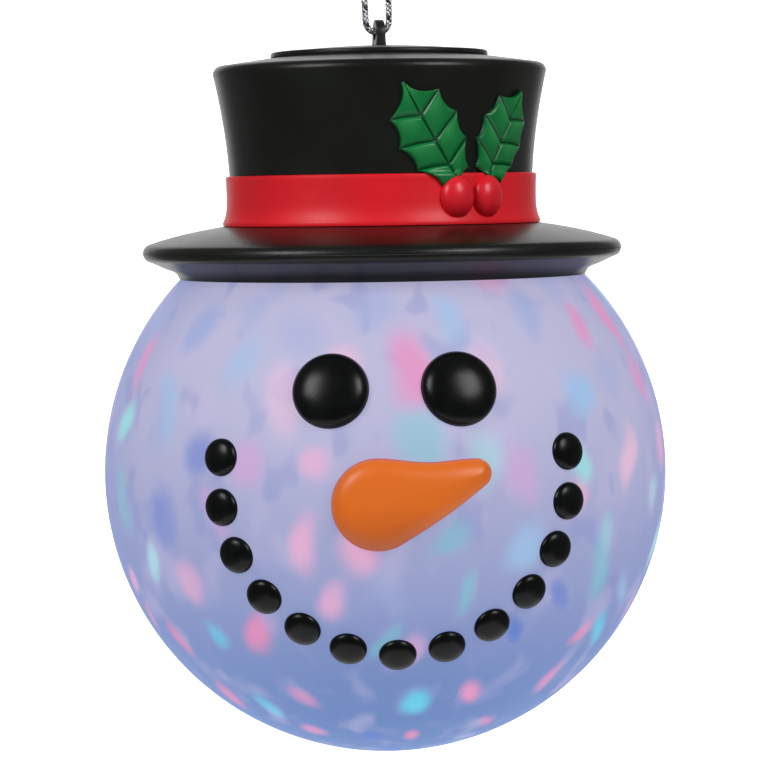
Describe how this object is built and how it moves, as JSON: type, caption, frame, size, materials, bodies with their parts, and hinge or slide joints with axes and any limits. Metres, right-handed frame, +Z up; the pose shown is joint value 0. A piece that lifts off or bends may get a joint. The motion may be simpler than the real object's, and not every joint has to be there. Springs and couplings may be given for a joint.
{
  "type": "lighted snowman head hanging ornament",
  "caption": "Hanging snowman-head lantern: translucent round globe with raised face, black top hat with band and holly, turning lens light inside, cord loop on the cap.",
  "frame": {"origin": "centre of the hanging eye's hole in the cap's tab, where the cord passes", "axes": "+Z up, along the globe's and the hat's axis; the face looks towards -Y; +X towards the side of the hat that has the holly"},
  "size_m": [0.2, 0.2058, 0.3252],
  "materials": {
    "hat_black": "satin moulded black",
    "band_red": "satin red",
    "leaf_green": "satin green",
    "berry_red": "gloss red",
    "cap_black": "satin moulded black",
    "gasket_rubber": "dark elastomer",
    "cord_metallic": "metallic silver braid with a dark tracer",
    "globe_milk": "translucent frosted, lit from inside",
    "coal_black": "gloss black",
    "nose_orange": "satin orange",
    "engine_white": "natural moulded",
    "bay_black": "black moulded",
    "cell_wrap": "printed film wrap, plain",
    "spring_steel": "bright plated",
    "contact_nickel": "nickel plated",
    "screw_steel": "zinc plated",
    "board_green": "solder mask green",
    "switch_black": "moulded black",
    "button_black": "soft black",
    "motor_steel": "plated can",
    "shaft_steel": "ground steel",
    "gear_acetal": "natural acetal",
    "lens_clear": "clear faceted plastic",
    "washer_bronze": "sintered bronze",
    "led_red": "lit red",
    "led_green": "lit green",
    "led_blue": "lit blue",
    "wire_red": "insulated wire"
  },
  "bodies": {
    "lamp": {"hat_crown": "hat_black", "hat_brim": "hat_black", "hat_band": "band_red", "brim_underside": "hat_black", "holly_leaf_left": "leaf_green", "holly_leaf_right": "leaf_green", "holly_berry_left": "berry_red", "holly_berry_right": "berry_red", "globe": "globe_milk", "eye_left": "coal_black", "eye_right": "coal_black", "nose": "nose_orange", "coal_01": "coal_black", "coal_02": "coal_black", "coal_03": "coal_black", "coal_04": "coal_black", "coal_05": "coal_black", "coal_06": "coal_black", "coal_07": "coal_black", "coal_08": "coal_black", "coal_09": "coal_black", "coal_10": "coal_black", "coal_11": "coal_black", "coal_12": "coal_black", "coal_13": "coal_black", "globe_seal": "gasket_rubber", "chassis": "engine_white", "neck_screws": "screw_steel", "brim_screws": "screw_steel", "battery_bay": "bay_black", "bay_screws": "screw_steel", "battery_1": "cell_wrap", "battery_2": "cell_wrap", "battery_3": "cell_wrap", "battery_springs": "spring_steel", "battery_contacts": "contact_nickel", "control_board": "board_green", "tact_switch": "switch_black", "motor": "motor_steel", "motor_bracket": "contact_nickel", "motor_screws": "screw_steel", "thrust_washer": "washer_bronze", "led_board": "board_green", "led_red": "led_red", "led_green": "led_green", "led_blue": "led_blue", "board_screws": "screw_steel", "internal_wires": "wire_red"},
    "seal": {"cap_gasket": "gasket_rubber"},
    "cap": {"cap": "cap_black", "hanging_cord": "cord_metallic", "cord_knot": "cord_metallic"},
    "lens": {"lens_carrier": "gear_acetal", "faceted_lens": "lens_clear"},
    "pinion": {"motor_pinion": "gear_acetal", "motor_shaft": "shaft_steel"},
    "button": {"power_button": "button_black", "switch_stem": "switch_black"}
  },
  "joints": [
    {"name": "cap_rise", "type": "slide", "parent": "lamp", "child": "seal", "axis": [0, 0, 1], "range_m": [0, 0.012]},
    {"name": "cap_turn", "type": "hinge", "parent": "seal", "child": "cap", "pos_m": [0, 0, 0], "axis": [0, 0, 1], "range_deg": [0, 363]},
    {"name": "lens_spin", "type": "hinge", "parent": "lamp", "child": "lens", "pos_m": [0, 0, -0.07541], "axis": [0, 0, 1], "continuous": true},
    {"name": "pinion_spin", "type": "hinge", "parent": "lamp", "child": "pinion", "pos_m": [0, -0.0288, -0.06541], "axis": [0, 0, 1], "continuous": true},
    {"name": "button_press", "type": "slide", "parent": "lamp", "child": "button", "axis": [0, -1, 0], "range_m": [0, 0.001], "stiffness_N_per_m": 600, "springref_m": -0.0005}
  ],
  "couplings": [
    {"joint": "pinion_spin", "follows": "lens_spin", "ratio": -5},
    {"joint": "cap_turn", "follows": "cap_rise", "rad_per_m": 523.6}
  ]
}
